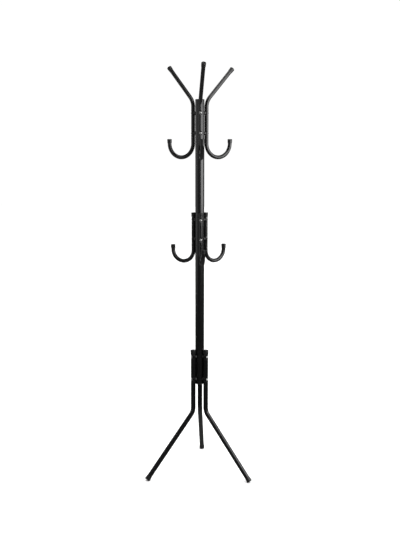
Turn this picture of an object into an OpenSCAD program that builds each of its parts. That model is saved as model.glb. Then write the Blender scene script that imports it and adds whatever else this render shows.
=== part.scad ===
// Free-standing coat rack. A two-part pole stands on three bent legs and carries two rows of three
// bent-tube hooks. Every leg and hook is bolted to the pole's wall over spacers, and the upper half of
// the pole turns in the lower half. Millimetres, +Z up, floor at Z = 0.

/* [Pole] */
// Outer diameter of both pole tubes
pole_d = 37; // [34:0.5:38]
// Wall of the pole tubes
pole_wall = 1.2; // [1:0.1:1.6]
// Height of the pole's lower end above the floor
pole_bottom_z = 388; // [380:1:394]
// Height at which the two halves of the pole meet
pole_seam_z = 978; // [940:1:985]
// Height of the pole's top
pole_top_z = 1568; // [1545:1:1580]
// Length of the necked end that plugs into the lower half
spigot_len = 60; // [40:1:90]
// Thickness of the plugs that close the pole's two ends
pole_plug_t = 4; // [3:0.5:6]

/* [Legs] */
// Outer diameter of the leg tubes
leg_d = 20; // [17:0.5:20]
// Distance from the pole's axis to the axis of a leg's upright
leg_offset = 30.4; // [30.4:0.1:34]
// Height of the top of the leg caps
leg_top_z = 538; // [532:1:560]
// Heights of a leg's two bolts
leg_bolt_z = [410.5, 508]; // [405:0.5:515]
// Height at which the lines of the upright and the sloping part cross
leg_knee_z = 269.5; // [255:0.5:285]
// Angle of the sloping part from the vertical
leg_lean = 39.4; // [36:0.1:43]
// Radius of the knee, at the tube's centre line
leg_knee_r = 50; // [40:1:70]
// Turn of the three legs about the pole
leg_turn = -2.5; // [-10:0.5:10]

/* [Hook tubes] */
// Outer diameter of the hook tubes
hook_d = 16; // [13:0.5:16]
// Wall of the leg tubes and hook tubes
tube_wall = 1; // [0.8:0.1:1.2]

/* [Top row] */
// Distance from the pole's axis to the axis of a top hook's upright
top_offset = 31.3; // [30.5:0.1:34]
// Heights of a top hook's two bolts
top_bolt_z = [1433.5, 1513.5]; // [1425:0.5:1520]
// Turn of the front, right and left top hooks about the pole
top_turns = [4, 0.5, 0.5]; // [-8:0.5:8]
// Height of the centre of a top hook's bow
top_bow_z = 1392.5; // [1385:0.5:1400]
// Radius of a top hook's bow, at the tube's centre line
top_bow_r = 56; // [45:0.5:60]
// Outward lean of a top hook's tip
top_tip_lean = 1.5; // [0:0.5:12]
// Straight length of a top hook's tip, with its cap
top_tip_len = 19.5; // [19:0.5:40]
// Height at which the lines of the upright and the arm cross
arm_knee_z = 1560.5; // [1555:0.5:1570]
// Radius of the arm's bend, at the tube's centre line
arm_knee_r = 60; // [45:1:75]
// Length of each arm beyond that crossing, with its cap
arm_len = 179.8; // [150:0.1:200]
// Lean of the front, right and left arms from the vertical
arm_leans = [41.3, 42.3, 39.8]; // [35:0.1:48]
// Twist of the front, right and left arms out of the plane of their own hook
arm_twists = [2, -1.5, -1.5]; // [-8:0.5:8]

/* [Middle row] */
// Distance from the pole's axis to the axis of a middle hook's upright
middle_offset = 29.3; // [29.3:0.1:33]
// Heights of a middle hook's two bolts
middle_bolt_z = [1004, 1084]; // [1000:0.5:1090]
// Turn of the front, right and left middle hooks about the pole
middle_turns = [6.5, 2, 2]; // [-8:0.5:8]
// Twist of the front, right and left middle hooks' bows about their own uprights
middle_twists = [0, 4, 4]; // [-8:0.5:8]
// Height of the top of the middle hooks' upper caps
middle_top_z = 1113; // [1108:1:1130]
// Height of the centre of a middle hook's bow
middle_bow_z = 955.5; // [945:0.5:965]
// Radius of a middle hook's bow, at the tube's centre line
middle_bow_r = 46.5; // [38:0.5:52]
// Outward lean of a middle hook's tip
middle_tip_lean = 1.5; // [0:0.5:12]
// Straight length of a middle hook's tip, with its cap
middle_tip_len = 22; // [20:0.5:40]

/* [Caps] */
// Length of the caps on the hook tubes
hook_cap_len = 17; // [14:0.5:18]
// Diameter of a hook cap at its closed end
hook_cap_end_d = 19.2; // [18.4:0.1:19.6]
// Length of the caps on the leg tubes, at the top and at the foot
leg_cap_len = 18; // [15:0.5:22]
// Diameter of a leg's top cap at its closed end
leg_cap_end_d = 22.8; // [22.2:0.1:22.8]
// Diameter of a foot cap at its closed end
foot_cap_end_d = 23; // [22.6:0.1:24]
// Radius of the rounded edge at the closed end of every cap
cap_edge_r = 2.5; // [1:0.5:3]
// Depth of the flat sole worn into the edge of each foot cap
sole_depth = 0.9; // [0.5:0.1:1.5]

/* [Fasteners] */
// Nominal diameter of every bolt
bolt_d = 6; // [5:1:6]
// Diameter of a bolt's domed head
bolt_head_d = 10.5; // [9.5:0.5:11]
// Height of a bolt's domed head
bolt_head_h = 3.3; // [2.5:0.1:4]
// Diameter of the spacers between the pole and the tubes
spacer_d = 14; // [12:0.5:15]
// Depth of the flat pressed into a hook tube under each bolt head
hook_flat_depth = 2; // [1:0.1:2.6]
// Depth of the flat pressed into a leg tube under each bolt head
leg_flat_depth = 3.4; // [1.5:0.1:4]

/* [Hidden] */
$fn = 64;

// The origin is on the floor, in the middle of the rack's footprint, so the pole stands a little off it
pole_x = 5;
pole_y = -49;

pole_r = pole_d / 2;
leg_r = leg_d / 2;
hook_r = hook_d / 2;
running_clearance = 0.05;
cap_clearance = 0.05;
shoulder_gap = 0.3;
plug_depth = 11;
plug_wall = 2;
cap_wall = 0.9;
cap_end_t = 3;
edge_steps = 6;
cut_margin = 1;
bend_thinning = 0.03;
bend_run_on = 0.6;

bolt_r = bolt_d / 2;
bolt_hole_r = bolt_r + 0.25;
bolt_tip_r = 5;
socket_d = 4.6;
socket_depth = 2;
flat_half_len = 6;
nut_body_r = 4.4;
nut_hole_r = nut_body_r + 0.05;
nut_thread_r = bolt_r + 0.05;
nut_flange_r = 5;
nut_flange_t = 0.8;
nut_inner_r = 6.5;
nut_bulge_r = 5.6;
nut_bulge = [pole_r - 4.3, pole_r - 2.5];
saddle_depth = 2.5;

leg_angles = [for (i = [0:2]) 90 + 120 * i + leg_turn];
top_angles = [for (i = [0:2]) 270 + 120 * i + top_turns[i]];
middle_angles = [for (i = [0:2]) 270 + 120 * i + middle_turns[i]];

// Where a foot cap's closed end lies along the leg's sloping line, so that its lowest edge,
// less the worn sole, is on the floor
foot_cap_r = foot_cap_end_d / 2;
foot_end_z = (foot_cap_r - cap_edge_r) * sin(leg_lean) - cap_edge_r * cos(leg_lean) + cap_edge_r - sole_depth;
foot_end_r = (leg_knee_z - foot_end_z) * tan(leg_lean);

powder_black = [0.09, 0.09, 0.10];
cap_black = [0.04, 0.04, 0.04];
spacer_black = [0.06, 0.06, 0.06];
plated = [0.80, 0.80, 0.78];
zinc = [0.66, 0.64, 0.58];

// ---- placing ----

// Moves a piece from the pole's axis to its place over the origin
module on_pole() {
    translate([pole_x, pole_y, 0])
        children();
}

// Turns a piece drawn in the XZ plane, with X outward from the pole, to its place round the pole
module round_pole(angle, offset = 0) {
    rotate([0, 0, angle])
        translate([offset, 0, 0])
            children();
}

// Points +Z along the outward direction, at height z
module outward(z) {
    translate([0, 0, z])
        rotate([0, 90, 0])
            children();
}

// ---- bent tubes, drawn in the XZ plane ----

// A tube's cross-section, with its wall thinned from both sides where it is bent
module tube_section(r, thinning = 0) {
    difference() {
        circle(r = r - thinning);
        circle(r = r - tube_wall + thinning);
    }
}

// A bend about a centre in the XZ plane, from one angle to another, counted from +X towards +Z.
// Bending thins the wall a little, and each end runs on into the wall of the straight beside it.
module tube_bend(r, centre, bend_r, from, to) {
    run_on = asin(bend_run_on / bend_r);
    translate([centre[0], 0, centre[1]])
        rotate([90, 0, 0])
            rotate([0, 0, from - run_on])
                rotate_extrude(angle = to - from + 2 * run_on)
                    translate([bend_r, 0])
                        tube_section(r, bend_thinning);
}

// A straight run of tube from a point in the XZ plane, leaning outward from the vertical
module tube_run(r, start, lean, length) {
    translate([start[0], 0, start[1]])
        rotate([0, lean, 0])
            linear_extrude(height = length)
                tube_section(r);
}

// Outline, in the XZ plane, of what is pressed away to make a bolt's flat. grow widens it by a wall.
module flat_outline(flat_x, grow) {
    half = flat_half_len + grow * tan(22.5);
    rise = hook_d;
    polygon([
        [flat_x - grow, -half],
        [flat_x - grow, half],
        [flat_x - grow + rise, half + rise],
        [flat_x - grow + rise, -half - rise]
    ]);
}

module flat_cutter(r, flat_x, z, grow) {
    translate([0, r + cut_margin, z])
        rotate([90, 0, 0])
            linear_extrude(height = 2 * (r + cut_margin))
                flat_outline(flat_x, grow);
}

// The upright of a leg or hook: a straight tube with a flat and a through hole at each bolt
module upright(r, bottom, top, bolts, flat_depth) {
    flat_x = r - flat_depth;
    difference() {
        translate([0, 0, bottom])
            cylinder(r = r, h = top - bottom);
        difference() {
            translate([0, 0, bottom - cut_margin])
                cylinder(r = r - tube_wall, h = top - bottom + 2 * cut_margin);
            for (z = bolts)
                flat_cutter(r, flat_x, z, tube_wall);
        }
        for (z = bolts) {
            flat_cutter(r, flat_x, z, 0);
            outward(z)
                translate([0, 0, -r - cut_margin])
                    cylinder(r = bolt_hole_r, h = 2 * (r + cut_margin));
        }
    }
}

// The bow of a hook and its straight tip, hanging from an upright at X = 0
module bow(bow_z, bow_r, lean, tip) {
    tube_bend(hook_r, [bow_r, bow_z], bow_r, 180, 360 - lean);
    tube_run(hook_r, [bow_r * (1 + cos(lean)), bow_z - bow_r * sin(lean)], lean, tip - cap_end_t);
}

// ---- caps ----

// Points of a rounded outer edge, from the side of a cap to its closed end
function edge_points(r, z, edge) = [
    for (i = [0:edge_steps])
        let (a = 90 * i / edge_steps)
            [r - edge + edge * cos(a), z - edge + edge * sin(a)]
];

// A slip-on cap, flared towards its closed end. The tube's end stops against the inside of that end.
module tube_cap(tube_r, end_d, length) {
    bore_r = tube_r + cap_clearance;
    rotate_extrude()
        polygon(concat(
            [[bore_r, 0], [bore_r + cap_wall, 0]],
            edge_points(end_d / 2, length, cap_edge_r),
            [[0, length], [0, length - cap_end_t], [bore_r, length - cap_end_t]]
        ));
}

// A push-in plug with a rounded rim as wide as the pole. The rim starts at Z = 0.
module pole_plug() {
    plug_r = pole_r - pole_wall - cap_clearance;
    rotate_extrude()
        polygon(concat(
            [[0, 0], [plug_r - plug_wall, 0], [plug_r - plug_wall, -plug_depth], [plug_r, -plug_depth]],
            [[plug_r, 0], [pole_r, 0]],
            edge_points(pole_r, pole_plug_t, cap_edge_r),
            [[0, pole_plug_t]]
        ));
}

// ---- fasteners, drawn pointing outward along +X ----

// A domed bolt with a hexagon socket. head_x is the distance of the head's seat from the pole's axis.
module dome_bolt(z, head_x) {
    dome_r = (pow(bolt_head_d / 2, 2) + pow(bolt_head_h, 2)) / (2 * bolt_head_h);
    outward(z)
        difference() {
            union() {
                translate([0, 0, bolt_tip_r])
                    cylinder(r = bolt_r, h = head_x - bolt_tip_r + cut_margin);
                intersection() {
                    translate([0, 0, head_x + bolt_head_h - dome_r])
                        sphere(r = dome_r);
                    translate([0, 0, head_x])
                        cylinder(r = bolt_head_d / 2, h = bolt_head_h);
                }
            }
            translate([0, 0, head_x + bolt_head_h - socket_depth])
                cylinder(d = socket_d, h = socket_depth + cut_margin, $fn = 6);
        }
}

// A rivet nut set in the pole's wall, with its flange outside and its bulge behind the wall
module rivet_nut(z) {
    outward(z)
        rotate_extrude()
            polygon([
                [nut_thread_r, nut_inner_r], [nut_body_r, nut_inner_r],
                [nut_body_r, nut_bulge[0]], [nut_bulge_r, nut_bulge[0]],
                [nut_bulge_r, nut_bulge[1]], [nut_body_r, nut_bulge[1]],
                [nut_body_r, pole_r], [nut_flange_r, pole_r],
                [nut_flange_r, pole_r + nut_flange_t], [nut_thread_r, pole_r + nut_flange_t]
            ]);
}

// A spacer with one end hollowed to the pole and the other to the tube that it carries
module spacer(z, offset, tube_r) {
    difference() {
        outward(z)
            difference() {
                cylinder(d = spacer_d, h = offset - tube_r + saddle_depth);
                translate([0, 0, -cut_margin])
                    cylinder(r = bolt_hole_r, h = offset);
                translate([0, 0, -cut_margin])
                    cylinder(r = nut_flange_r + 0.2, h = pole_r + nut_flange_t + 0.1 + cut_margin);
            }
        translate([0, 0, z - spacer_d])
            cylinder(r = pole_r, h = 2 * spacer_d);
        translate([offset, 0, z - spacer_d])
            cylinder(r = tube_r, h = 2 * spacer_d);
    }
}

// One fastener or spacer at every bolt of a row
module each_bolt(angles, bolts) {
    for (angle = angles, z = bolts)
        round_pole(angle)
            translate([0, 0, z])
                children();
}

module row_bolts(angles, bolts, offset, tube_r, flat_depth) {
    color(plated)
        each_bolt(angles, bolts)
            dome_bolt(0, offset + tube_r - flat_depth);
}

module row_rivet_nuts(angles, bolts) {
    color(zinc)
        each_bolt(angles, bolts)
            rivet_nut(0);
}

module row_spacers(angles, bolts, offset, tube_r) {
    color(spacer_black)
        each_bolt(angles, bolts)
            spacer(0, offset, tube_r);
}

// ---- pole ----

// Holes for the rivet nuts of one row
module nut_holes(angles, bolts) {
    each_bolt(angles, bolts)
        outward(0)
            cylinder(r = nut_hole_r, h = pole_r + cut_margin);
}

module lower_tube() {
    bottom = pole_bottom_z + pole_plug_t;
    color(powder_black)
        difference() {
            translate([0, 0, bottom])
                cylinder(r = pole_r, h = pole_seam_z - bottom);
            translate([0, 0, bottom - cut_margin])
                cylinder(r = pole_r - pole_wall, h = pole_seam_z - bottom + 2 * cut_margin);
            nut_holes(leg_angles, leg_bolt_z);
        }
}

// The upper half of the pole. Its lower end is necked down to run in the lower half.
module upper_tube() {
    shoulder_z = pole_seam_z + shoulder_gap;
    spigot_end = pole_seam_z - spigot_len;
    bore_r = pole_r - pole_wall;
    spigot_r = bore_r - running_clearance;
    neck = 5;
    lead_in = 1;
    color(powder_black)
        difference() {
            rotate_extrude()
                polygon([
                    [spigot_r - pole_wall, spigot_end], [spigot_r - lead_in / 2, spigot_end],
                    [spigot_r, spigot_end + lead_in], [spigot_r, shoulder_z],
                    [pole_r - lead_in / 2, shoulder_z], [pole_r, shoulder_z + lead_in],
                    [pole_r, pole_top_z - pole_plug_t], [bore_r, pole_top_z - pole_plug_t],
                    [bore_r, shoulder_z + neck], [spigot_r - pole_wall, shoulder_z + neck / 2]
                ]);
            nut_holes(middle_angles, middle_bolt_z);
            nut_holes(top_angles, top_bolt_z);
        }
}

module pole_top_cap() {
    color(cap_black)
        translate([0, 0, pole_top_z - pole_plug_t])
            pole_plug();
}

module pole_bottom_plug() {
    color(cap_black)
        translate([0, 0, pole_bottom_z + pole_plug_t])
            mirror([0, 0, 1])
                pole_plug();
}

// ---- legs ----

module leg(i) {
    knee_start = leg_knee_z + leg_knee_r * tan(leg_lean / 2);
    slope_start = [leg_knee_r * (1 - cos(leg_lean)), knee_start - leg_knee_r * sin(leg_lean)];
    slope_len = (foot_end_r - slope_start[0]) / sin(leg_lean);
    color(powder_black)
        round_pole(leg_angles[i], leg_offset) {
            upright(leg_r, knee_start, leg_top_z - cap_end_t, leg_bolt_z, leg_flat_depth);
            tube_bend(leg_r, [leg_knee_r, knee_start], leg_knee_r, 180, 180 + leg_lean);
            tube_run(leg_r, slope_start, 180 - leg_lean, slope_len - cap_end_t);
        }
}

module leg_top_cap(i) {
    color(cap_black)
        round_pole(leg_angles[i], leg_offset)
            translate([0, 0, leg_top_z - leg_cap_len])
                tube_cap(leg_r, leg_cap_end_d, leg_cap_len);
}

module foot_cap(i) {
    color(cap_black)
        round_pole(leg_angles[i], leg_offset)
            difference() {
                translate([foot_end_r, 0, foot_end_z])
                    rotate([0, 180 - leg_lean, 0])
                        translate([0, 0, -leg_cap_len])
                            tube_cap(leg_r, foot_cap_end_d, leg_cap_len);
                translate([foot_end_r - leg_cap_len, -leg_cap_len, -leg_cap_len])
                    cube([2 * leg_cap_len, 2 * leg_cap_len, leg_cap_len]);
            }
}

// ---- top row ----

module top_hook(i) {
    knee_start = arm_knee_z - arm_knee_r * tan(arm_leans[i] / 2);
    arm_start = [arm_knee_r * (1 - cos(arm_leans[i])), knee_start + arm_knee_r * sin(arm_leans[i])];
    run_len = arm_len - arm_knee_r * tan(arm_leans[i] / 2);
    color(powder_black)
        round_pole(top_angles[i], top_offset) {
            bow(top_bow_z, top_bow_r, top_tip_lean, top_tip_len);
            upright(hook_r, top_bow_z, knee_start, top_bolt_z, hook_flat_depth);
            rotate([0, 0, arm_twists[i]]) {
                tube_bend(hook_r, [arm_knee_r, knee_start], arm_knee_r, 180 - arm_leans[i], 180);
                tube_run(hook_r, arm_start, arm_leans[i], run_len - cap_end_t);
            }
        }
}

module arm_cap(i) {
    color(cap_black)
        round_pole(top_angles[i], top_offset)
            rotate([0, 0, arm_twists[i]])
                translate([0, 0, arm_knee_z])
                    rotate([0, arm_leans[i], 0])
                        translate([0, 0, arm_len - hook_cap_len])
                            tube_cap(hook_r, hook_cap_end_d, hook_cap_len);
}

// The cap on the tip of a hook whose bow has the given height, radius, lean and tip
module tip_cap(bow_z, bow_r, lean, tip) {
    color(cap_black)
        translate([bow_r * (1 + cos(lean)), 0, bow_z - bow_r * sin(lean)])
            rotate([0, lean, 0])
                translate([0, 0, tip - hook_cap_len])
                    tube_cap(hook_r, hook_cap_end_d, hook_cap_len);
}

module top_tip_cap(i) {
    round_pole(top_angles[i], top_offset)
        tip_cap(top_bow_z, top_bow_r, top_tip_lean, top_tip_len);
}

// ---- middle row ----

module middle_hook(i) {
    color(powder_black)
        round_pole(middle_angles[i], middle_offset) {
            rotate([0, 0, middle_twists[i]])
                bow(middle_bow_z, middle_bow_r, middle_tip_lean, middle_tip_len);
            upright(hook_r, middle_bow_z, middle_top_z - cap_end_t, middle_bolt_z, hook_flat_depth);
        }
}

module middle_tip_cap(i) {
    round_pole(middle_angles[i], middle_offset)
        rotate([0, 0, middle_twists[i]])
            tip_cap(middle_bow_z, middle_bow_r, middle_tip_lean, middle_tip_len);
}

module middle_stem_cap(i) {
    color(cap_black)
        round_pole(middle_angles[i], middle_offset)
            translate([0, 0, middle_top_z - hook_cap_len])
                tube_cap(hook_r, hook_cap_end_d, hook_cap_len);
}

// ---- assembly ----

on_pole() lower_tube();
on_pole() pole_bottom_plug();
on_pole() leg(0);  // rear_leg
on_pole() leg(1);  // front_left_leg
on_pole() leg(2);  // front_right_leg
on_pole() foot_cap(0);  // rear_foot_cap
on_pole() foot_cap(1);  // front_left_foot_cap
on_pole() foot_cap(2);  // front_right_foot_cap
on_pole() leg_top_cap(0);  // rear_leg_top_cap
on_pole() leg_top_cap(1);  // front_left_leg_top_cap
on_pole() leg_top_cap(2);  // front_right_leg_top_cap
on_pole() row_spacers(leg_angles, leg_bolt_z, leg_offset, leg_r);  // leg_spacers
on_pole() row_bolts(leg_angles, leg_bolt_z, leg_offset, leg_r, leg_flat_depth);  // leg_bolts
on_pole() row_rivet_nuts(leg_angles, leg_bolt_z);  // leg_rivet_nuts

on_pole() upper_tube();
on_pole() pole_top_cap();
on_pole() top_hook(0);  // front_top_hook
on_pole() top_hook(1);  // right_top_hook
on_pole() top_hook(2);  // left_top_hook
on_pole() arm_cap(0);  // front_arm_cap
on_pole() arm_cap(1);  // right_arm_cap
on_pole() arm_cap(2);  // left_arm_cap
on_pole() top_tip_cap(0);  // front_top_tip_cap
on_pole() top_tip_cap(1);  // right_top_tip_cap
on_pole() top_tip_cap(2);  // left_top_tip_cap
on_pole() row_spacers(top_angles, top_bolt_z, top_offset, hook_r);  // top_spacers
on_pole() row_bolts(top_angles, top_bolt_z, top_offset, hook_r, hook_flat_depth);  // top_bolts
on_pole() row_rivet_nuts(top_angles, top_bolt_z);  // top_rivet_nuts

on_pole() middle_hook(0);  // front_middle_hook
on_pole() middle_hook(1);  // right_middle_hook
on_pole() middle_hook(2);  // left_middle_hook
on_pole() middle_tip_cap(0);  // front_middle_tip_cap
on_pole() middle_tip_cap(1);  // right_middle_tip_cap
on_pole() middle_tip_cap(2);  // left_middle_tip_cap
on_pole() middle_stem_cap(0);  // front_middle_stem_cap
on_pole() middle_stem_cap(1);  // right_middle_stem_cap
on_pole() middle_stem_cap(2);  // left_middle_stem_cap
on_pole() row_spacers(middle_angles, middle_bolt_z, middle_offset, hook_r);  // middle_spacers
on_pole() row_bolts(middle_angles, middle_bolt_z, middle_offset, hook_r, hook_flat_depth);  // middle_bolts
on_pole() row_rivet_nuts(middle_angles, middle_bolt_z);  // middle_rivet_nuts
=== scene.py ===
"""The looks of a standing coat rack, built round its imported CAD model.

Shapes are drawn in millimetres and scaled to metres when a mesh is made. Heights, angles and offsets
come from the CAD model's nodes. Radii and lengths that its boxes don't show are named below, with the
values that the CAD model has.
"""

import math
from collections import namedtuple

import bmesh
import bpy
import numpy as np
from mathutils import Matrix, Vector


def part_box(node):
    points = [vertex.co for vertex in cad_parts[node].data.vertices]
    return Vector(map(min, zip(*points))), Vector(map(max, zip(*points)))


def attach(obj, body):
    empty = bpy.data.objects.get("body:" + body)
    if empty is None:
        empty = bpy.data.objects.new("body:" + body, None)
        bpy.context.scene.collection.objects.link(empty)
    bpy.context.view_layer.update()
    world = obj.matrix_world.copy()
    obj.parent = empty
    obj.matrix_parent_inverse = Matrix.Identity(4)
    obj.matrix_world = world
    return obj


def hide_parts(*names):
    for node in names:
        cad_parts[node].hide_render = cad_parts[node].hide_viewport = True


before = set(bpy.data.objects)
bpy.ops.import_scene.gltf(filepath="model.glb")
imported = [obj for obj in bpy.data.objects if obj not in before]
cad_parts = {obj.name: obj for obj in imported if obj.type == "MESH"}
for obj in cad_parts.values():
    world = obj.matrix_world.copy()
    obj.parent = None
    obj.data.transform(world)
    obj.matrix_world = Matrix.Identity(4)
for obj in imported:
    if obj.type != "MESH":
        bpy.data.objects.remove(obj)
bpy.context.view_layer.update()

MM = 0.001

# ---- sizes that the tubes share, in millimetres ----

TUBE_WALL = 1.0
POLE_WALL = 1.2
HOOK_R = 8.0
LEG_R = 10.0
CAP_CLEARANCE = 0.05
CAP_WALL = 0.9
CAP_END = 3.0
CAP_EDGE = 2.5
HOOK_CAP_LEN = 17.0
HOOK_CAP_R = 9.6
LEG_CAP_LEN = 18.0
LEG_CAP_R = 11.4
FOOT_CAP_R = 11.5
SOLE_DEPTH = 0.9
SHOULDER_GAP = 0.3
SPIGOT_CLEARANCE = 0.05

# ---- bends, in millimetres and degrees ----

LEG_KNEE_R = 50.0
LEG_LEAN = 39.4
LEG_KNEE_Z = 269.5
TOP_BOW_R = 56.0
TOP_TIP_LEAN = 1.5
TOP_TIP_LEN = 19.5
ARM_KNEE_R = 60.0
ARM_KNEE_Z = 1560.5
ARM_LEN = 179.8
ARM_LEANS = {"front": 41.3, "right": 42.3, "left": 39.8}
ARM_TWISTS = {"front": 2.0, "right": -1.5, "left": -1.5}
MIDDLE_BOW_R = 46.5
MIDDLE_TIP_LEAN = 1.5
MIDDLE_TIP_LEN = 22.0
MIDDLE_TWISTS = {"front": 0.0, "right": 4.0, "left": 4.0}

# ---- fasteners, in millimetres ----

BOLT_R = 3.0
BOLT_TIP = 5.0
HEAD_R = 5.25
HEAD_H = 3.3
SOCKET_R = 2.0
SOCKET_DEPTH = 2.0
SPACER_R = 7.0
SADDLE_DEPTH = 2.5
NUT_FLANGE_R = 5.0
NUT_FLANGE_T = 0.8
BOLT_HOLE_R = 3.25
HOOK_FLAT = 2.0
LEG_FLAT = 3.4

SIDES = ("front", "right", "left")
LEGS = ("rear", "front_left", "front_right")


# ---- reading the frame ----


def corners(node):
    """Lowest and highest corner of a CAD node, in millimetres."""
    low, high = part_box(node)
    return np.array(low) / MM, np.array(high) / MM


def centre(node):
    low, high = corners(node)
    return (low + high) / 2


POLE_LOW, POLE_HIGH = corners("lower_tube")
# The CAD mesh is faceted, so the middle of its corners is a few hundredths of a millimetre off the axis.
POLE_AXIS = np.round((POLE_LOW + POLE_HIGH)[:2] / 2, 1)
POLE_R = (POLE_HIGH - POLE_LOW)[0] / 2
SEAM_Z = POLE_HIGH[2]
POLE_BOTTOM = corners("pole_bottom_plug")[0][2]
POLE_TOP = corners("pole_top_cap")[1][2]
PLUG_T = POLE_LOW[2] - POLE_BOTTOM


def bearing(node):
    """Angle round the pole, in degrees, and distance from its axis, of a node's centre."""
    away = centre(node)[:2] - POLE_AXIS
    return math.degrees(math.atan2(away[1], away[0])), float(np.hypot(*away))


def nearest(node, angle):
    """Distance from the pole's axis to the nearest point of a node, along one direction."""
    turn = math.radians(angle)
    outward = np.array([math.cos(turn), math.sin(turn)])
    points = np.array([v.co[:2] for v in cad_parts[node].data.vertices]) / MM
    return float(((points - POLE_AXIS) @ outward).min())


def bolt_heights(node):
    """Heights of a row's two bolts, which are a head's radius inside the row's box."""
    low, high = corners(node)
    return [low[2] + HEAD_R, high[2] - HEAD_R]


# ---- closed skins ----

POLE_SIDES = 96
CAP_SIDES = 64
# A smaller radius than this counts as a point on the axis.
ON_AXIS = 0.000001


class Shape:
    """Points and faces of one piece, in millimetres, gathered from closed skins."""

    def __init__(self):
        self.points = []
        self.faces = []
        self.rub = []

    def skin(self, rings, loop=False, rub=None):
        """Joins rings of points. A one-point ring closes an end, and loop joins the last to the first."""
        starts = []
        for number, ring in enumerate(rings):
            starts.append(len(self.points))
            self.points.extend(ring)
            self.rub.extend([rub[number] if rub is not None else 0.0] * len(ring))
        order = list(range(len(rings)))
        if loop:
            order.append(0)
        for a, b in zip(order, order[1:]):
            self._band(starts[a], len(rings[a]), starts[b], len(rings[b]))

    def _band(self, a, size_a, b, size_b):
        count = max(size_a, size_b)
        for i in range(count):
            j = (i + 1) % count
            if size_a == 1:
                self.faces.append((a, b + j, b + i))
            elif size_b == 1:
                self.faces.append((a + i, a + j, b))
            else:
                self.faces.append((a + i, a + j, b + j, b + i))


def circle(radius, sides):
    turn = np.linspace(0, 2 * math.pi, sides, endpoint=False)
    return np.stack([radius * np.cos(turn), radius * np.sin(turn)], axis=1)


def lathe(profile, place, sides):
    """Turns (radius, height) points about the local Z axis, and puts them where place says."""
    rings = []
    for radius, height in profile:
        if radius < ON_AXIS:
            ring = np.array([[0.0, 0.0, height]])
        else:
            ring = np.column_stack([circle(radius, sides), np.full(sides, height)])
        rings.append(place(ring))
    shape = Shape()
    shape.skin(rings, loop=profile[0][0] > ON_AXIS and profile[-1][0] > ON_AXIS)
    return shape


def arc(centre_r, centre_z, radius, start, end, steps):
    """Points of a rounded edge in a profile, from one angle to another, counted from outward to up."""
    turn = np.radians(np.linspace(start, end, steps))
    return [(centre_r + radius * math.cos(a), centre_z + radius * math.sin(a)) for a in turn]


# ---- placing: a placer is a function that moves a piece's own points to where they belong ----


def round_pole(angle, offset=0.0):
    """A placer: X outward from the pole at that angle, Z up, starting offset from the pole's axis."""
    turn = math.radians(angle)
    outward = np.array([math.cos(turn), math.sin(turn), 0.0])
    sideways = np.array([-math.sin(turn), math.cos(turn), 0.0])
    origin = np.array([POLE_AXIS[0], POLE_AXIS[1], 0.0]) + offset * outward

    def place(points):
        return origin + points[:, :1] * outward + points[:, 1:2] * sideways + points[:, 2:] * [0, 0, 1]

    return place


def then(outer, x=0.0, z=0.0, lean=0.0, twist=0.0):
    """A placer inside another: moved in the XZ plane, leaned outward, and twisted about the outer Z."""
    a = math.radians(lean)
    b = math.radians(twist)

    def place(points):
        leaned = np.stack(
            [
                points[:, 0] * math.cos(a) + points[:, 2] * math.sin(a) + x,
                points[:, 1],
                points[:, 2] * math.cos(a) - points[:, 0] * math.sin(a) + z,
            ],
            axis=1,
        )
        turned = leaned.copy()
        turned[:, 0] = leaned[:, 0] * math.cos(b) - leaned[:, 1] * math.sin(b)
        turned[:, 1] = leaned[:, 0] * math.sin(b) + leaned[:, 1] * math.cos(b)
        return outer(turned)

    return place


def along_line(outer, x, z, lean, along, twist=0.0):
    """A placer some way along a line that passes through (x, z) and leans outward."""
    a = math.radians(lean)
    return then(outer, x=x + along * math.sin(a), z=z + along * math.cos(a), lean=lean, twist=twist)


def pointing_out(outer, z):
    """A placer whose Z is the outer placer's outward direction, at height z."""

    def place(points):
        return outer(np.stack([points[:, 2], points[:, 1], z - points[:, 0]], axis=1))

    return place


# ---- meshes ----

SHARP_ANGLE = 38.0
# In metres. Pieces are rounder than the CAD's facets, so the two boxes differ a little.
FIT_LIMIT = 0.0012


def check_place(piece, node):
    """Stops the script if a piece's box isn't its CAD node's box."""
    low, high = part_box(node)
    points = np.array([v.co for v in piece.data.vertices])
    off = max(np.abs(points.min(0) - low).max(), np.abs(points.max(0) - high).max())
    if off > FIT_LIMIT:
        raise ValueError(f"{piece.name} is {off / MM:.2f} mm off the box of {node}")


def add_object(name, data):
    thing = bpy.data.objects.new(name, data)
    bpy.context.scene.collection.objects.link(thing)
    return thing


def make_piece(name, shape, node, body, material, slot):
    """Turns a shape into a Blender object in metres, and lets it stand for a CAD node."""
    mesh = bpy.data.meshes.new(name)
    mesh.from_pydata((np.array(shape.points) * MM).tolist(), [], shape.faces)
    attribute = mesh.attributes.new("rub", "FLOAT", "POINT")
    attribute.data.foreach_set("value", np.array(shape.rub, dtype=np.float32))
    work = bmesh.new()
    work.from_mesh(mesh)
    bmesh.ops.recalc_face_normals(work, faces=work.faces)
    work.to_mesh(mesh)
    work.free()
    mesh.shade_smooth()
    mesh.set_sharp_from_angle(angle=math.radians(SHARP_ANGLE))
    mesh.materials.append(material)
    piece = add_object(name, mesh)
    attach(piece, body)
    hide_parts(node)
    check_place(piece, node)


# ---- bent tubes ----

TUBE_SIDES = 48
STRAIGHT_STEP = 12.0
BEND_STEP = 4.0

# A tube is fully flat up to CRUSH_FULL from a bolt's middle, and round again CRUSH_FADE further on.
CRUSH_FULL = 4.6
CRUSH_FADE = 5.6
# How round the flat's edges are, and the share of its depth by which it widens the tube.
CRUSH_SOFTNESS = 0.7
CRUSH_WIDENING = 0.2
# Rings stand this close together as far as this from a bolt.
CRUSH_STEP = 1.0
CRUSH_REACH = 14.0

# How worn the coat is under a bolt's head, where the lowest part of a bow has 1.
BOLT_RUB = 0.35

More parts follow.
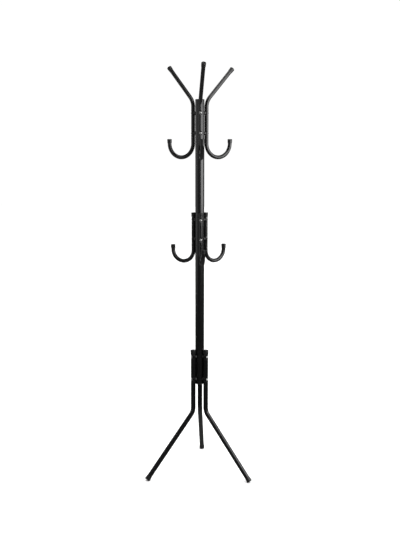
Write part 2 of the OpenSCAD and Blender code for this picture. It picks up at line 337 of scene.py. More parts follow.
Bow = namedtuple("Bow", "z radius tip_lean tip_len twist")


def bend_reach(radius, lean):
    """How far before the corner of its two straight lines a bend begins."""
    return radius * math.tan(math.radians(lean / 2))


def crush_at(z, bolts):
    """How far a tube is pressed flat at a height: 1 under a bolt's head, falling to 0 beside it."""
    most = 0.0
    for bolt_z in bolts:
        away = abs(z - bolt_z)
        fall = min(max((away - CRUSH_FULL) / CRUSH_FADE, 0.0), 1.0)
        most = max(most, 1 - fall * fall * (3 - 2 * fall))
    return most


def upright_heights(bottom, top, bolts):
    """Heights of the rings along an upright, close together near each bolt."""
    heights = set(np.arange(bottom, top, STRAIGHT_STEP)) | {top}
    for bolt_z in bolts:
        near = np.arange(bolt_z - CRUSH_REACH, bolt_z + CRUSH_REACH + CRUSH_STEP, CRUSH_STEP)
        heights = {z for z in heights if abs(z - bolt_z) > CRUSH_REACH} | set(near)
    return sorted(z for z in heights if bottom <= z <= top)


def upright(bottom, top, bolts):
    """Stations of a straight upright above the bend it starts from, pressed flat at its bolts."""
    stations = []
    for z in upright_heights(bottom, top, bolts)[1:]:
        weight = crush_at(z, bolts)
        stations.append((0.0, z, 360.0, weight, 0.0, BOLT_RUB * weight))
    return stations


def walk(x, z, lean, steps):
    """Stations (x, z, lean) along a line that starts at a point with a lean and follows its steps.

    A step is ("run", length) or ("turn", radius, degrees), where positive degrees lean it further outward.
    """
    stations = [(x, z, lean)]
    for kind, *sizes in steps:
        if kind == "run":
            count = max(1, round(sizes[0] / STRAIGHT_STEP))
            for _ in range(count):
                x += sizes[0] / count * math.sin(math.radians(lean))
                z += sizes[0] / count * math.cos(math.radians(lean))
                stations.append((x, z, lean))
        else:
            radius, degrees = sizes
            count = max(2, round(abs(degrees) / BEND_STEP))
            side = math.copysign(radius, degrees)
            middle_x = x + side * math.cos(math.radians(lean))
            middle_z = z - side * math.sin(math.radians(lean))
            for _ in range(count):
                lean += degrees / count
                x = middle_x - side * math.cos(math.radians(lean))
                z = middle_z + side * math.sin(math.radians(lean))
                stations.append((x, z, lean))
    return stations


def section(radius, depth, weight):
    """A tube's outline, (outward, sideways), with its outward side pressed in by depth."""
    points = circle(radius, TUBE_SIDES)
    if weight <= 0:
        return points
    flat = radius - depth * weight
    softness = CRUSH_SOFTNESS * weight
    over = points[:, 0] - flat
    points[:, 0] = (points[:, 0] + flat - np.sqrt(over * over + softness * softness)) / 2
    points[:, 1] *= 1 + CRUSH_WIDENING * weight * depth / radius
    return points


def tube(stations, radius, depth, place_at):
    """Skins a tube, outside and inside, along (x, z, lean, weight, twist, rub) stations."""
    outside = []
    inside = []
    rubs = []
    for x, z, lean, weight, twist, rub in stations:
        a = math.radians(lean)
        place = place_at(twist)
        for rings, r in ((outside, radius), (inside, radius - TUBE_WALL)):
            flat = section(r, depth, weight)
            across = x + flat[:, 0] * math.cos(a)
            height = z - flat[:, 0] * math.sin(a)
            rings.append(place(np.stack([across, flat[:, 1], height], axis=1)))
        rubs.append(rub)
    shape = Shape()
    shape.skin(outside + inside[::-1], loop=True, rub=rubs + [0.0] * len(inside))
    return shape


def bow_rub(lean):
    """How worn a bow is, most where a strap hangs. lean is 180 at the upright and 90 at the bottom."""
    return max(0.0, math.cos(math.radians(lean - 90.0))) ** 2


def hook_tube(angle, offset, bow, bolts, top, arm=None):
    """A hook: its tip, its bow, its upright and, on a top hook, its arm, given by lean and twist."""
    outer = round_pole(angle, offset)
    steps = [("turn", bow.radius, bow.tip_lean - 180.0), ("run", bow.tip_len - CAP_END)]
    down = walk(0.0, bow.z, 180.0, steps)
    stations = [(x, z, lean + 180.0, 0.0, bow.twist, bow_rub(lean)) for x, z, lean in down[::-1]]
    stations += upright(bow.z, top, bolts)
    if arm:
        lean, twist = arm
        run = ARM_LEN - bend_reach(ARM_KNEE_R, lean) - CAP_END
        up = walk(0.0, top, 0.0, [("turn", ARM_KNEE_R, lean), ("run", run)])
        stations += [(x, z, bend, 0.0, twist, 0.0) for x, z, bend in up[1:]]
    return tube(stations, HOOK_R, HOOK_FLAT, lambda twist: then(outer, twist=twist))


def leg_tube(angle, offset, bolts, top, foot_r):
    """A leg: its slope, up from the foot, its knee and its upright."""
    outer = round_pole(angle, offset)
    reach = bend_reach(LEG_KNEE_R, LEG_LEAN)
    knee_start = LEG_KNEE_Z + reach
    slope = foot_r / math.sin(math.radians(LEG_LEAN)) - reach
    down = walk(0.0, knee_start, 180.0, [("turn", LEG_KNEE_R, -LEG_LEAN), ("run", slope - CAP_END)])
    stations = [(x, z, lean + 180.0, 0.0, 0.0, 0.0) for x, z, lean in down[::-1]]
    stations += upright(knee_start, top, bolts)
    return tube(stations, LEG_R, LEG_FLAT, lambda twist: outer)


# ---- caps and plugs ----

EDGE_STEPS = 12

# A cap's mouth, and its side, which flares along a curve. A straight cone's power is 1.
LIP_R = CAP_WALL / 2
LIP_STEPS = 9
LIP_END = 0.5
SIDE_STEPS = 12
SIDE_START = 0.1
SIDE_END = 0.98
FLARE_POWER = 1.15

# The dish in a cap's end, and the nub in its middle, which stays below the rim.
DISH_RIM = 0.6
DISH_SIDE = 0.5
DISH_DEPTH = 0.3
NUB_R = 1.1
NUB_SIDE = 0.2
NUB_ROUND = 0.7
NUB_DROP = 0.1
SOFT_DROP = 0.02

# A plug's hollow stem and the tops of its sealing fins, below the plug's flange.
PLUG_CLEARANCE = 0.05
STEM_LEN = 11.0
STEM_HOLLOW = 2.0
FIN_DEPTH = 0.6
FIN_TOPS = (-9.0, -6.0, -3.0)
# A fin's corners: how far inside its edge, and how far above its top.
FIN_CORNERS = ((0.4, -1.2), (0.0, -0.6), (0.0, 0.0), (FIN_DEPTH, 0.1))

# A plug's flange, with its dish and the nub in the dish.
FLANGE_CHAMFER = 0.3
PLUG_RIM = 4.5
PLUG_DISH_SIDE = 0.8
PLUG_DISH_DEPTH = 0.35
PLUG_NUB_R = 1.6
PLUG_NUB_SIDE = 0.4
PLUG_NUB_DROP = 0.12
PLUG_NUB_ROUND = 0.15


def cap_profile(tube_r, end_r, length):
    """A push-on cap: rounded mouth, flared side, rounded edge, dished end with the nub of its gate."""
    bore = tube_r + CAP_CLEARANCE
    mouth = bore + CAP_WALL
    side_top = length - CAP_EDGE
    profile = [(0.0, length - CAP_END), (bore, length - CAP_END), (bore, LIP_END)]
    profile += arc(bore + LIP_R, LIP_R, LIP_R, 180, 360, LIP_STEPS)
    for share in np.linspace(SIDE_START, SIDE_END, SIDE_STEPS):
        height = LIP_R + share * (side_top - LIP_R)
        profile.append((mouth + (end_r - mouth) * (height / side_top) ** FLARE_POWER, height))
    profile += arc(end_r - CAP_EDGE, side_top, CAP_EDGE, 0, 90, EDGE_STEPS)
    rim = end_r - CAP_EDGE - DISH_RIM
    dish = length - DISH_DEPTH
    nub = length - NUB_DROP
    profile += [(rim, length - SOFT_DROP), (rim - DISH_SIDE, dish), (NUB_R + NUB_SIDE, dish)]
    profile += [(NUB_R, nub - SOFT_DROP), (NUB_R - NUB_ROUND, nub), (0.0, nub)]
    return profile


def cap(place, tube_r, end_r, length):
    return lathe(cap_profile(tube_r, end_r, length), place, CAP_SIDES)


def plug_profile():
    """A push-in plug with a rounded rim, three sealing fins on its stem and a shallow dish on top."""
    fin = POLE_R - POLE_WALL - PLUG_CLEARANCE
    stem = fin - FIN_DEPTH
    hollow = fin - STEM_HOLLOW
    profile = [(0.0, 0.0), (hollow, 0.0), (hollow, -STEM_LEN), (stem, -STEM_LEN)]
    for top in FIN_TOPS:
        profile += [(fin - inside, top + above) for inside, above in FIN_CORNERS]
    profile += [(stem, 0.0), (POLE_R - FLANGE_CHAMFER, 0.0), (POLE_R, FLANGE_CHAMFER)]
    profile += arc(POLE_R - CAP_EDGE, PLUG_T - CAP_EDGE, CAP_EDGE, 0, 90, EDGE_STEPS)
    rim = POLE_R - PLUG_RIM
    dish = PLUG_T - PLUG_DISH_DEPTH
    profile += [(rim, PLUG_T), (rim - PLUG_DISH_SIDE, dish), (PLUG_NUB_R + PLUG_NUB_SIDE, dish)]
    profile += [(PLUG_NUB_R, PLUG_T - PLUG_NUB_ROUND), (0.0, PLUG_T - PLUG_NUB_DROP)]
    return profile


# ---- profiles of the pole's two tubes ----

POLE_RINGS = 9
END_MARGIN = 2.0
TUBE_CHAMFER = 0.4
BORE_EDGE = 0.2
SEAM_ROUND = 0.5
SHOULDER_ROUND = 1.0
SHOULDER_DROP = 0.01
SPIGOT_CHAMFER = 0.5
SPIGOT_CHAMFER_H = 1.0
# Above the shoulder, the bore widens from the spigot's to the tube's between these heights.
NECK_START = 2.5
NECK_END = 5.0


def pole_side(low, high):
    return [(POLE_R, z) for z in np.linspace(low + END_MARGIN, high - END_MARGIN, POLE_RINGS)]


def lower_tube_profile():
    """A straight tube with a small chamfer below and a rounded, deburred edge at the seam."""
    inner = POLE_R - POLE_WALL
    low, high = POLE_LOW[2], SEAM_Z
    profile = [(inner, low), (POLE_R - TUBE_CHAMFER, low), (POLE_R, low + TUBE_CHAMFER)]
    profile += pole_side(low, high)
    profile += [(POLE_R, high - SEAM_ROUND)]
    profile += arc(POLE_R - SEAM_ROUND, high - SEAM_ROUND, SEAM_ROUND, 20, 90, 5)
    profile += [(inner + BORE_EDGE, high), (inner, high - BORE_EDGE)]
    return profile


def upper_tube_profile():
    """A straight tube, necked below its shoulder to a spigot that fits into the lower tube."""
    inner = POLE_R - POLE_WALL
    spigot = inner - SPIGOT_CLEARANCE
    low = corners("upper_tube")[0][2]
    high = corners("upper_tube")[1][2]
    shoulder = SEAM_Z + SHOULDER_GAP
    profile = [(spigot - POLE_WALL, low), (spigot - SPIGOT_CHAMFER, low), (spigot, low + SPIGOT_CHAMFER_H)]
    profile += [(spigot, shoulder - SHOULDER_DROP), (POLE_R - SHOULDER_ROUND, shoulder)]
    profile += arc(POLE_R - SHOULDER_ROUND, shoulder + SHOULDER_ROUND, SHOULDER_ROUND, 290, 360, 6)
    profile += pole_side(shoulder, high)
    profile += [(POLE_R, high - TUBE_CHAMFER), (POLE_R - TUBE_CHAMFER, high), (inner, high)]
    profile += [(inner, shoulder + NECK_END), (spigot - POLE_WALL, shoulder + NECK_START)]
    return profile


# ---- bolts and spacers, drawn pointing outward along the local Z ----

BOLT_SIDES = 48
DOME_RINGS = 9
# The dome's rings stand between these distances, outside the socket and inside the head's edge.
DOME_START = 0.75
DOME_END = 0.25
# The head's edge, from the dome down to the seat: how far inside the head's radius, and the height.
HEAD_EDGE = ((0.03, 0.32), (0.0, 0.18), (0.12, 0.0))
SOCKET_POINT = 0.4
SOCKET_FLOOR_R = 0.8 * SOCKET_R
SOCKET_CHAMFER = 0.22
SOCKET_CHAMFER_LOW = 0.35
SOCKET_CHAMFER_HIGH = 0.05
NECK_FILLET = 0.25
NECK_FILLET_H = 0.3
THREAD_TOP = 26.0
THREAD_PITCH = 1.0
THREAD_DEPTH = 0.35
THREAD_CREST = 0.02
TIP_CHAMFER = 0.7

SPACER_SIDES = 64
SPACER_EDGE = 0.25
SPACER_EDGE_H = 0.3
SPACER_WAIST = 0.25
BORE_CHAMFER = 0.15
POCKET_SIDE_GAP = 0.2
POCKET_END_GAP = 0.1


def hexagon(apothem):
    """A hexagon with as many points as the bolt's circles, so that rings of both join."""
    turn = np.linspace(0, 2 * math.pi, BOLT_SIDES, endpoint=False)
    sixth = math.pi / 3
    from_middle = (turn % sixth) - sixth / 2
    radius = apothem / np.cos(from_middle)
    return np.stack([radius * np.cos(turn), radius * np.sin(turn)], axis=1)


def bolt(shape, place, seat):
    """A dome bolt with a hexagon socket, a thread and a chamfered tip. seat is its head's underside."""
    dome_r = (HEAD_R**2 + HEAD_H**2) / (2 * HEAD_H)
    top = seat + HEAD_H
    rings = []

    def dome(radius):
        return top - dome_r + math.sqrt(dome_r**2 - radius**2)

    def point(height):
        rings.append(place(np.array([[0.0, 0.0, height]])))

    def ring(outline, height):
        rings.append(place(np.column_stack([outline, np.full(len(outline), height)])))

    def round_ring(radius, height):
        ring(circle(radius, BOLT_SIDES), height)

    point(top - SOCKET_DEPTH - SOCKET_POINT)
    round_ring(SOCKET_FLOOR_R, top - SOCKET_DEPTH)
    ring(hexagon(SOCKET_R), top - SOCKET_DEPTH)
    ring(hexagon(SOCKET_R), dome(SOCKET_R) - SOCKET_CHAMFER_LOW)
    ring(hexagon(SOCKET_R + SOCKET_CHAMFER), dome(SOCKET_R) - SOCKET_CHAMFER_HIGH)
    for radius in np.linspace(SOCKET_R + DOME_START, HEAD_R - DOME_END, DOME_RINGS):
        round_ring(radius, dome(radius))
    for inside, height in HEAD_EDGE:
        round_ring(HEAD_R - inside, seat + height)
    round_ring(BOLT_R + NECK_FILLET, seat)
    round_ring(BOLT_R, seat - NECK_FILLET_H)
    round_ring(BOLT_R, THREAD_TOP)
    height = THREAD_TOP
    while height > BOLT_TIP + 2 * THREAD_PITCH:
        round_ring(BOLT_R - THREAD_DEPTH, height - THREAD_PITCH / 2)
        round_ring(BOLT_R - THREAD_CREST, height - THREAD_PITCH)
        height -= THREAD_PITCH
    round_ring(BOLT_R - TIP_CHAMFER, BOLT_TIP)
    point(BOLT_TIP)
    shape.skin(rings)


def spacer(shape, place, offset, tube_r):
    """A barrel between pole and tube, hollowed to both, with a bore and a pocket for the nut's flange."""
    pocket_r = NUT_FLANGE_R + POCKET_SIDE_GAP
    pocket_end = POLE_R + NUT_FLANGE_T + POCKET_END_GAP
    middle = (POLE_R + offset - tube_r) / 2

    def on_pole(outline, lift):
        return np.sqrt(POLE_R**2 - outline[:, 1] ** 2) + lift

    def on_tube(outline, lift):
        across = np.clip(tube_r**2 - outline[:, 1] ** 2, 0.0, None)
        reach = np.minimum(offset - np.sqrt(across), offset - tube_r + SADDLE_DEPTH)
        return reach - lift

    def level(outline, height):
        return np.full(len(outline), height)

    def ring(radius, height_of, value=0.0):
        outline = circle(radius, SPACER_SIDES)
        return place(np.column_stack([outline, height_of(outline, value)]))

    rings = [
        ring(pocket_r, on_pole),
        ring(SPACER_R - SPACER_EDGE, on_pole),
        ring(SPACER_R, on_pole, SPACER_EDGE_H),
        ring(SPACER_R - SPACER_WAIST, level, middle),
        ring(SPACER_R, on_tube, SPACER_EDGE_H),
        ring(SPACER_R - SPACER_EDGE, on_tube),
        ring(BOLT_HOLE_R + BORE_CHAMFER, on_tube),
        ring(BOLT_HOLE_R, on_tube, BORE_CHAMFER),
        ring(BOLT_HOLE_R, level, pocket_end),
        ring(pocket_r, level, pocket_end),
    ]
    shape.skin(rings, loop=True)


# ---- materials ----

# Nearly all of a noise's values lie between these.
NOISE_LOW = 0.3
NOISE_HIGH = 0.7


def grey(value):
    return (value, value, value)


class Nodes:
    """Short calls for building a material out of shader nodes."""

    def __init__(self, name):
        self.material = bpy.data.materials.new(name)
        self.material.use_nodes = True
        self.tree = self.material.node_tree
        self.shader = self.tree.nodes["Principled BSDF"]
        self.place = self.tree.nodes.new("ShaderNodeTexCoord").outputs["Object"]

    def link(self, output, socket):
        self.tree.links.new(output, socket)

    def feed(self, name, output):
        """Links an output to one of the shader's inputs."""
        self.link(output, self.shader.inputs[name])

    def noise(self, scale, detail=2.0, roughness=0.5):
        node = self.tree.nodes.new("ShaderNodeTexNoise")
        node.inputs["Scale"].default_value = scale
        node.inputs["Detail"].default_value = detail
        node.inputs["Roughness"].default_value = roughness
        self.link(self.place, node.inputs["Vector"])
        return node.outputs["Fac"]

    def cells(self, scale):
        """Distance to the nearest of many scattered points."""
        node = self.tree.nodes.new("ShaderNodeTexVoronoi")
        node.feature = "F1"
        node.inputs["Scale"].default_value = scale
        self.link(self.place, node.inputs["Vector"])
        return node.outputs["Distance"]

    def spread(self, output, low, high, to_low=0.0, to_high=1.0):
        node = self.tree.nodes.new("ShaderNodeMapRange")
        node.inputs["From Min"].default_value = low
        node.inputs["From Max"].default_value = high
        node.inputs["To Min"].default_value = to_low
        node.inputs["To Max"].default_value = to_high
        self.link(output, node.inputs["Value"])
        return node.outputs["Result"]

    def vary(self, noise, low, high):
        """A value that a noise moves between low and high."""
        return self.spread(noise, NOISE_LOW, NOISE_HIGH, low, high)

    def math(self, operation, first, second):
        node = self.tree.nodes.new("ShaderNodeMath")
        node.operation = operation
        for socket, value in zip(node.inputs, (first, second)):
            if isinstance(value, (int, float)):
                socket.default_value = value
            else:
                self.link(value, socket)
        return node.outputs["Value"]

    def tint(self, factor, low, high):
        node = self.tree.nodes.new("ShaderNodeMix")
        node.data_type = "RGBA"
        colours = [socket for socket in node.inputs if socket.type == "RGBA"]
        colours[0].default_value = (*low, 1.0)
        colours[1].default_value = (*high, 1.0)
        self.link(factor, node.inputs["Factor"])
        return [socket for socket in node.outputs if socket.type == "RGBA"][0]

    def attribute(self, name):
        node = self.tree.nodes.new("ShaderNodeAttribute")
        node.attribute_name = name
        return node.outputs["Fac"]

    def bump(self, height, distance, strength, under=None):
        """A bumped normal, on top of another one if under is given. distance is in metres."""
        node = self.tree.nodes.new("ShaderNodeBump")
        node.inputs["Distance"].default_value = distance
        node.inputs["Strength"].default_value = strength
        self.link(height, node.inputs["Height"])
        if under is not None:
            self.link(under, node.inputs["Normal"])
        return node.outputs["Normal"]


def powder_coat(dark, light):
    """Satin black powder coat: orange peel, fine dust in the film, and a polish where straps rub."""
    n = Nodes("powder_coat")
    peel = n.noise(620.0, 1.5)
    sag = n.noise(150.0, 1.0)
    film = n.noise(28.0, 3.0, 0.6)
    rub = n.attribute("rub")
    broken = n.math("MULTIPLY", rub, n.spread(n.noise(95.0, 4.0, 0.7), 0.42, 0.62))
    speck = n.spread(n.cells(420.0), 0.0, 0.16, 1.0, 0.0)
    shade = n.math("ADD", n.math("MULTIPLY", film, 0.5), n.math("MULTIPLY", broken, 0.5))
    n.feed("Base Color", n.tint(shade, dark, light))
    rough = n.vary(film, 0.19, 0.24)
    rough = n.math("ADD", rough, n.math("MULTIPLY", speck, 0.04))
    rough = n.math("SUBTRACT", rough, n.math("MULTIPLY", broken, 0.03))
    n.feed("Roughness", rough)
    normal = n.bump(sag, 0.00001, 0.2)
    normal = n.bump(peel, 0.000005, 0.3, normal)
    normal = n.bump(speck, 0.000005, 0.2, normal)
    n.feed("Normal", normal)
    return n.material


def moulded(name, dark, light, rough_low, rough_high, grain):
    """Black moulded plastic with a fine eroded grain and slight flow marks. grain is the grain's scale."""
    n = Nodes(name)
    flow = n.noise(60.0, 3.0, 0.6)
    fine = n.noise(grain, 2.0, 0.6)
    pits = n.spread(n.cells(grain * 0.8), 0.05, 0.5)
    n.feed("Base Color", n.tint(flow, dark, light))
    n.feed("Roughness", n.vary(flow, rough_low, rough_high))
    normal = n.bump(fine, 0.00003, 0.35)
    normal = n.bump(pits, 0.00002, 0.3, normal)
    n.feed("Normal", normal)
    return n.material


def plated(name, dark, light, rough_low, rough_high):
    """Plated steel: a soft sheen broken by fine scratches and duller patches."""
    n = Nodes(name)
    patches = n.noise(240.0, 3.0, 0.6)
    scratch = n.noise(2600.0, 2.0)
    n.feed("Base Color", n.tint(patches, dark, light))
    n.shader.inputs["Metallic"].default_value = 1.0
    n.feed("Roughness", n.vary(patches, rough_low, rough_high))
    n.feed("Normal", n.bump(scratch, 0.00001, 0.4))
    return n.material


def paper(dark, light):
    """The plain pale floor: a matt sheet with the faintest mottle."""
    n = Nodes("paper")
    n.feed("Base Color", n.tint(n.noise(3.0, 4.0), dark, light))
    n.shader.inputs["Roughness"].default_value = 0.9
    n.feed("Normal", n.bump(n.noise(900.0), 0.0002, 0.2))
    return n.material


COAT = powder_coat((0.0015, 0.0015, 0.0016), (0.0030, 0.0030, 0.0032))
CAP_PLASTIC = moulded("cap_plastic", grey(0.0024), grey(0.0050), 0.30, 0.42, 900.0)
SPACER_PLASTIC = moulded("spacer_plastic", grey(0.006), grey(0.011), 0.42, 0.55, 700.0)
BOLT_METAL = plated("bolt_plating", (0.38, 0.38, 0.37), (0.52, 0.52, 0.51), 0.28, 0.40)
NUT_METAL = plated("nut_zinc", (0.52, 0.50, 0.44), (0.68, 0.67, 0.60), 0.30, 0.45)


# ---- the pole ----

on_axis = round_pole(0.0)
plug_on_top = then(on_axis, z=POLE_TOP - PLUG_T)
plug_below = then(on_axis, z=POLE_BOTTOM + PLUG_T, lean=180.0)


def turned(name, profile, place, node, body, material, slot):
    shape = lathe(profile, place, POLE_SIDES)
    make_piece(name, shape, node, body, material, slot)


turned("lower_pole", lower_tube_profile(), on_axis, "lower_tube", "base", COAT, "powder_coat")
turned("upper_pole", upper_tube_profile(), on_axis, "upper_tube", "upper", COAT, "powder_coat")
turned("top_plug", plug_profile(), plug_on_top, "pole_top_cap", "upper", CAP_PLASTIC, "cap")
turned("bottom_plug", plug_profile(), plug_below, "pole_bottom_plug", "base", CAP_PLASTIC, "cap")


# ---- the legs ----


def foot_end_height():
    """Height of the middle of a foot cap's end, with the cap's edge worn away by the sole's depth."""
    lean = math.radians(LEG_LEAN)
    flat = FOOT_CAP_R - CAP_EDGE
    return flat * math.sin(lean) - CAP_EDGE * math.cos(lean) + CAP_EDGE - SOLE_DEPTH


leg_bolts = bolt_heights("leg_bolts")
foot_end_z = foot_end_height()
foot_end_r = (LEG_KNEE_Z - foot_end_z) * math.tan(math.radians(LEG_LEAN))

for leg in LEGS:
    angle, offset = bearing(f"{leg}_leg_top_cap")
    leg_top = corners(f"{leg}_leg_top_cap")[1][2]
    outer = round_pole(angle, offset)

    shape = leg_tube(angle, offset, leg_bolts, leg_top - CAP_END, foot_end_r)
    make_piece(f"{leg}_leg_tube", shape, f"{leg}_leg", "base", COAT, "powder_coat")

    top_cap = cap(then(outer, z=leg_top - LEG_CAP_LEN), LEG_R, LEG_CAP_R, LEG_CAP_LEN)
    make_piece(f"{leg}_top_cap", top_cap, f"{leg}_leg_top_cap", "base", CAP_PLASTIC, "cap")

    foot_place = along_line(outer, foot_end_r, foot_end_z, 180.0 - LEG_LEAN, -LEG_CAP_LEN)
    foot = cap(foot_place, LEG_R, FOOT_CAP_R, LEG_CAP_LEN)
    foot.points = [np.array([x, y, max(z, 0.0)]) for x, y, z in foot.points]
    make_piece(f"{leg}_foot", foot, f"{leg}_foot_cap", "base", CAP_PLASTIC, "cap")


# ---- the hooks ----


def hook_cap(name, node, place):
    shape = cap(place, HOOK_R, HOOK_CAP_R, HOOK_CAP_LEN)
    make_piece(name, shape, node, "upper", CAP_PLASTIC, "cap")


def tip_place(outer, bow):
    """Where the cap on a hook's tip sits, beyond the bow's end."""
    a = math.radians(bow.tip_lean)
    bow_end_x = bow.radius * (1 + math.cos(a))
    bow_end_z = bow.z - bow.radius * math.sin(a)
    return along_line(outer, bow_end_x, bow_end_z, bow.tip_lean, bow.tip_len - HOOK_CAP_LEN, bow.twist)


def hook(row, side, angle, offset, bow, bolts, top, arm=None):
    """A hook's bent tube and the cap on its tip."""
    shape = hook_tube(angle, offset, bow, bolts, top, arm)
    make_piece(f"{side}_{row}_tube", shape, f"{side}_{row}_hook", "upper", COAT, "powder_coat")
    hook_cap(f"{side}_{row}_tip", f"{side}_{row}_tip_cap", tip_place(round_pole(angle, offset), bow))


top_bolts = bolt_heights("top_bolts")
middle_bolts = bolt_heights("middle_bolts")
top_places = []
middle_places = []

for side in SIDES:
    angle, _ = bearing(f"{side}_top_tip_cap")
    offset = nearest(f"{side}_top_hook", angle) + HOOK_R
    top_places.append((angle, offset))
    bow_z = corners(f"{side}_top_hook")[0][2] + TOP_BOW_R + HOOK_R
    bow = Bow(bow_z, TOP_BOW_R, TOP_TIP_LEAN, TOP_TIP_LEN, 0.0)
    lean, twist = ARM_LEANS[side], ARM_TWISTS[side]
    arm_start = ARM_KNEE_Z - bend_reach(ARM_KNEE_R, lean)
    hook("top", side, angle, offset, bow, top_bolts, arm_start, (lean, twist))
    outer = round_pole(angle, offset)
    arm_place = along_line(outer, 0.0, ARM_KNEE_Z, lean, ARM_LEN - HOOK_CAP_LEN, twist)
    hook_cap(f"{side}_arm_end", f"{side}_arm_cap", arm_place)

for side in SIDES:
    angle, offset = bearing(f"{side}_middle_stem_cap")
    middle_places.append((angle, offset))
    stem_top = corners(f"{side}_middle_stem_cap")[1][2]
    bow_z = corners(f"{side}_middle_hook")[0][2] + MIDDLE_BOW_R + HOOK_R
    bow = Bow(bow_z, MIDDLE_BOW_R, MIDDLE_TIP_LEAN, MIDDLE_TIP_LEN, MIDDLE_TWISTS[side])
    hook("middle", side, angle, offset, bow, middle_bolts, stem_top - CAP_END)
    stem_place = then(round_pole(angle, offset), z=stem_top - HOOK_CAP_LEN)
    hook_cap(f"{side}_middle_stem", f"{side}_middle_stem_cap", stem_place)


# ---- fasteners ----

leg_places = [bearing(f"{leg}_leg_top_cap") for leg in LEGS]
rows = (
    ("leg", "base", leg_places, leg_bolts, LEG_R, LEG_FLAT),
    ("top", "upper", top_places, top_bolts, HOOK_R, HOOK_FLAT),
    ("middle", "upper", middle_places, middle_bolts, HOOK_R, HOOK_FLAT),
)
for row, body, places, heights, tube_r, flat in rows:
    bolts = Shape()
    spacers = Shape()
    for angle, offset in places:
        for z in heights:
            outward = pointing_out(round_pole(angle), z)
            bolt(bolts, outward, offset + tube_r - flat)
            spacer(spacers, outward, offset, tube_r)
    make_piece(f"{row}_dome_bolts", bolts, f"{row}_bolts", body, BOLT_METAL, "plated_bolt")
    make_piece(f"{row}_saddles", spacers, f"{row}_spacers", body, SPACER_PLASTIC, "spacer")
    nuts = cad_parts[f"{row}_rivet_nuts"]
    nuts.data.materials.clear()
    nuts.data.materials.append(NUT_METAL)


# ---- the stage: floor, light and camera, in metres and degrees ----

FLOOR_HALF = 14.0
BACKDROP = 1.02
POLE_FOOT = Vector((POLE_AXIS[0] * MM, POLE_AXIS[1] * MM, 0.0))

# Pairs of a direction's height, from straight down (-1) to straight up (1), and the room's light there.
ROOM_GLOW = (
    (-1.0, 0.22),
    (-0.55, 0.22),
    (-0.27, 0.02),
    (-0.12, 0.10),
    (0.02, 0.44),
    (0.13, 0.06),
    (0.6, 0.0),
    (0.78, 0.28),
)

CAMERA_AWAY = 3.252
CAMERA_RIGHT = 0.0007
CAMERA_HEIGHT = 1.3996
CAMERA_DOWN = 9.34
CAMERA_ROLL = -0.05
# The lens and the sensor's width are in millimetres.
CAMERA_LENS = 52.5
CAMERA_SENSOR = 36.0


def make_floor(half):
    mesh = bpy.data.meshes.new("floor")
    ends = [(-half, -half, 0), (half, -half, 0), (half, half, 0), (-half, half, 0)]
    mesh.from_pydata(ends, [], [(0, 1, 2, 3)])
    mesh.materials.append(paper(grey(0.80), grey(0.83)))
    floor = add_object("floor", mesh)
    floor.visible_glossy = False


def around_pole(azimuth, away, height):
    """A point that far from the pole's axis, azimuth degrees to the right of the camera's side."""
    a = math.radians(azimuth)
    return POLE_FOOT + Vector((away * math.sin(a), -away * math.cos(a), height))


def softbox(name, azimuth, away, height, aim, size, watts):
    """A rectangular soft light, aimed at the pole at the height aim and hidden from the camera."""
    light = bpy.data.lights.new(name, "AREA")
    light.shape = "RECTANGLE"
    light.size, light.size_y = size
    light.energy = watts
    lamp = add_object(name, light)
    lamp.location = around_pole(azimuth, away, height)
    towards = around_pole(0.0, 0.0, aim) - lamp.location
    lamp.rotation_euler = towards.to_track_quat("-Z", "Y").to_euler()
    lamp.visible_camera = False


def ceiling(strength, spread):
    """Even light from above that whitens the whole floor, and has no reflection in the gloss."""
    light = bpy.data.lights.new("ceiling", "SUN")
    light.energy = strength
    light.angle = math.radians(spread)
    add_object("ceiling", light).visible_glossy = False


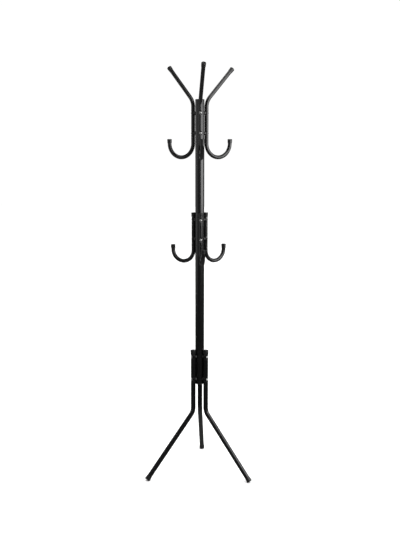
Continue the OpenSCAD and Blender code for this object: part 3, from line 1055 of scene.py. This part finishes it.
def make_world(seen, glow):
    """White where the camera looks past the floor. Elsewhere a dim room, lightest at eye height."""
    world = bpy.data.worlds.new("studio")
    world.use_nodes = True
    tree = world.node_tree
    tree.nodes.clear()
    output = tree.nodes.new("ShaderNodeOutputWorld")
    mix = tree.nodes.new("ShaderNodeMixShader")
    path = tree.nodes.new("ShaderNodeLightPath")
    room = tree.nodes.new("ShaderNodeBackground")
    white = tree.nodes.new("ShaderNodeBackground")
    white.inputs["Color"].default_value = (1.0, 1.0, 1.0, 1.0)
    white.inputs["Strength"].default_value = seen
    direction = tree.nodes.new("ShaderNodeTexCoord")
    split = tree.nodes.new("ShaderNodeSeparateXYZ")
    share = tree.nodes.new("ShaderNodeMapRange")
    share.inputs["From Min"].default_value = -1.0
    ramp = tree.nodes.new("ShaderNodeValToRGB")
    stops = ramp.color_ramp.elements
    while len(stops) < len(glow):
        stops.new(1.0)
    for stop, (height, light) in zip(stops, glow):
        stop.position = (height + 1.0) / 2
        stop.color = (*grey(light), 1.0)
    links = (
        (direction.outputs["Generated"], split.inputs[0]),
        (split.outputs["Z"], share.inputs["Value"]),
        (share.outputs["Result"], ramp.inputs["Fac"]),
        (ramp.outputs["Color"], room.inputs["Color"]),
        (room.outputs[0], mix.inputs[1]),
        (white.outputs[0], mix.inputs[2]),
        (path.outputs["Is Camera Ray"], mix.inputs["Fac"]),
        (mix.outputs[0], output.inputs["Surface"]),
    )
    for source, socket in links:
        tree.links.new(source, socket)
    bpy.context.scene.world = world


def make_camera():
    data = bpy.data.cameras.new("camera")
    data.lens = CAMERA_LENS
    data.sensor_width = CAMERA_SENSOR
    camera = add_object("camera", data)
    camera.location = POLE_FOOT + Vector((CAMERA_RIGHT, -CAMERA_AWAY, CAMERA_HEIGHT))
    camera.rotation_euler = (math.radians(90.0 - CAMERA_DOWN), math.radians(CAMERA_ROLL), 0.0)
    bpy.context.scene.camera = camera


make_floor(FLOOR_HALF)
softbox("right_window", azimuth=61.0, away=2.4, height=1.35, aim=1.35, size=(3.1, 1.0), watts=53.0)
softbox("right_fanlight", azimuth=61.0, away=2.4, height=2.65, aim=2.65, size=(3.1, 1.6), watts=42.0)
softbox("right_skylight", azimuth=28.0, away=2.4, height=3.9, aim=1.6, size=(2.4, 1.8), watts=36.0)
softbox("left_wall", azimuth=-85.0, away=2.4, height=1.1, aim=1.1, size=(2.4, 1.6), watts=7.5)
softbox("left_skylight", azimuth=-100.0, away=1.3, height=3.8, aim=1.6, size=(1.6, 1.6), watts=16.0)
ceiling(strength=4.6, spread=110.0)
make_world(BACKDROP, ROOM_GLOW)
make_camera()
bpy.context.scene.view_settings.view_transform = "Standard"
